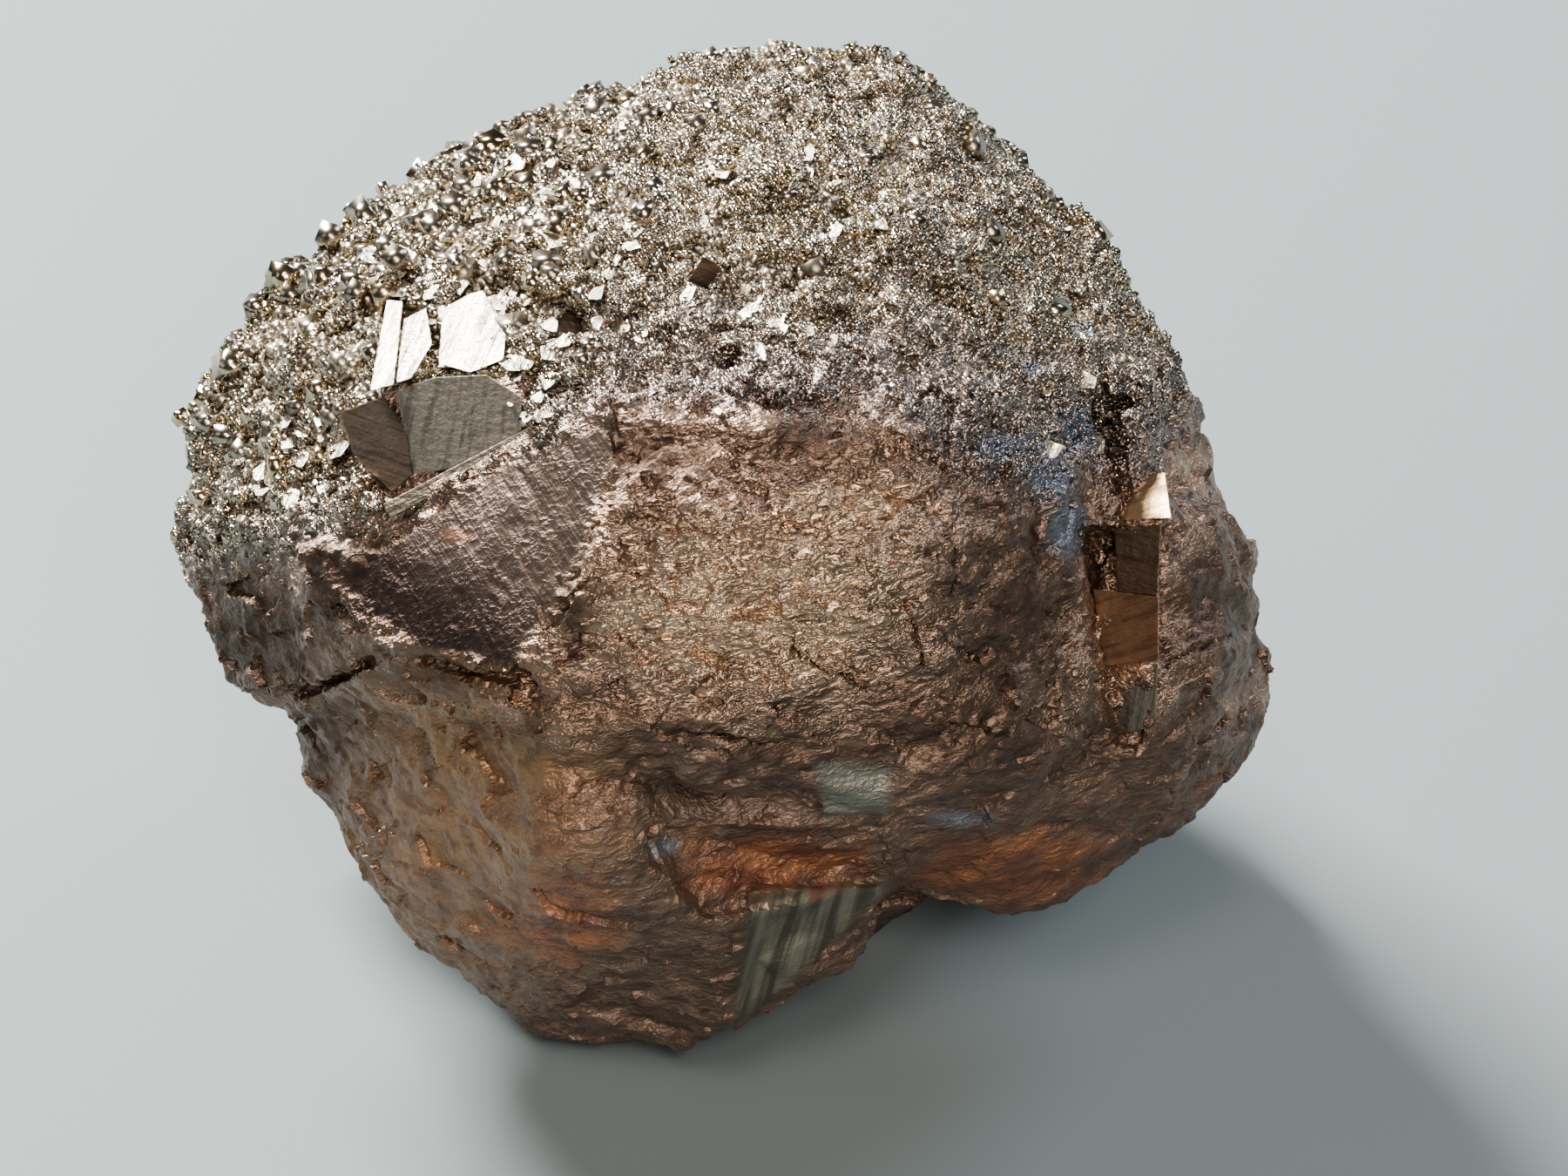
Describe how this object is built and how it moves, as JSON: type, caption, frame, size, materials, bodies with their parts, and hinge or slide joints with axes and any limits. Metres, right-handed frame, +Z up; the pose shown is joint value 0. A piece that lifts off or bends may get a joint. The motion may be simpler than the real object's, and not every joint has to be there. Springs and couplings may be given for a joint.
{
  "type": "pyrite specimen",
  "caption": "Rounded lump of massive pyrite with a granular crystalline top, fibrous bronze front, flat crystal faces and small cubes.",
  "frame": {"origin": "middle of the bounding box's underside, on the flat face that the lump rests on", "axes": "+X to the right of someone looking at the front, +Y to the back, +Z up from the surface it rests on"},
  "size_m": [0.0604, 0.0562, 0.0477],
  "materials": {
    "tarnished_pyrite": "granular metallic crystal, bronze with brown, rust and blue tarnish"
  },
  "bodies": {
    "root": {"pyrite": "tarnished_pyrite"}
  },
  "joints": []
}
